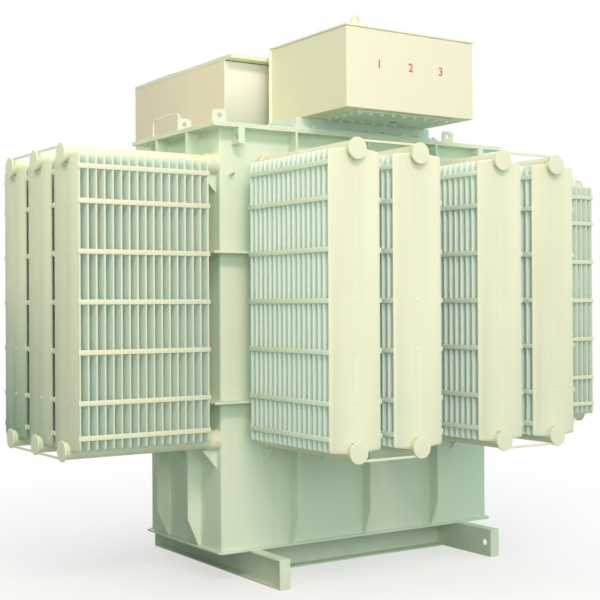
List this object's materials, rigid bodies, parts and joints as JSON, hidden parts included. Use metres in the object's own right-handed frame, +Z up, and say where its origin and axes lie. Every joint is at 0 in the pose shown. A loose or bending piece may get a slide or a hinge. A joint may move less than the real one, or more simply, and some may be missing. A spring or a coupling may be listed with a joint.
{
  "type": "power transformer",
  "caption": "Oil-filled power transformer: ribbed welded tank on a channel frame, with panel radiators on all sides and cable boxes on its cover.",
  "frame": {"origin": "on the ground under the middle of the base frame", "axes": "+Z up, +X along the tank's long side to the right seen from the front, -Y towards the front with the high-voltage box"},
  "size_m": [3.666, 2.611, 3.046],
  "materials": {
    "tank_paint": "pale green satin paint on welded plate",
    "radiator_paint": "pale green satin paint on pressed sheet",
    "box_paint": "pale green satin paint on folded sheet",
    "frame_paint": "pale green satin paint on rolled channel",
    "bare_steel": "bare stainless stud"
  },
  "bodies": {
    "root": {"back_headers": "radiator_paint", "back_radiator_1": "radiator_paint", "back_radiator_2": "radiator_paint", "back_radiator_3": "radiator_paint", "back_radiator_4": "radiator_paint", "back_wall": "tank_paint", "base_plate": "tank_paint", "beam_end_plates": "frame_paint", "cover": "tank_paint", "cover_lugs": "tank_paint", "cross_beams": "frame_paint", "earth_studs": "bare_steel", "front_headers": "radiator_paint", "front_radiator_1": "radiator_paint", "front_radiator_2": "radiator_paint", "front_radiator_3": "radiator_paint", "front_radiator_4": "radiator_paint", "front_wall": "tank_paint", "grab_rail": "tank_paint", "header_gussets": "radiator_paint", "header_tie_bars": "radiator_paint", "hv_box": "box_paint", "hv_gland_plate": "box_paint", "hv_lid": "box_paint", "hv_lugs": "box_paint", "hv_neck": "box_paint", "left_beam": "frame_paint", "left_headers": "radiator_paint", "left_radiator_1": "radiator_paint", "left_radiator_2": "radiator_paint", "left_radiator_3": "radiator_paint", "left_wall": "tank_paint", "lifting_lugs": "tank_paint", "lv_box": "box_paint", "lv_gland_plate": "box_paint", "lv_lid": "box_paint", "right_beam": "frame_paint", "right_headers": "radiator_paint", "right_radiator_1": "radiator_paint", "right_radiator_2": "radiator_paint", "right_radiator_3": "radiator_paint", "right_wall": "tank_paint", "rim_flange": "tank_paint", "tank_rings": "tank_paint", "wall_ribs": "tank_paint"}
  },
  "joints": []
}
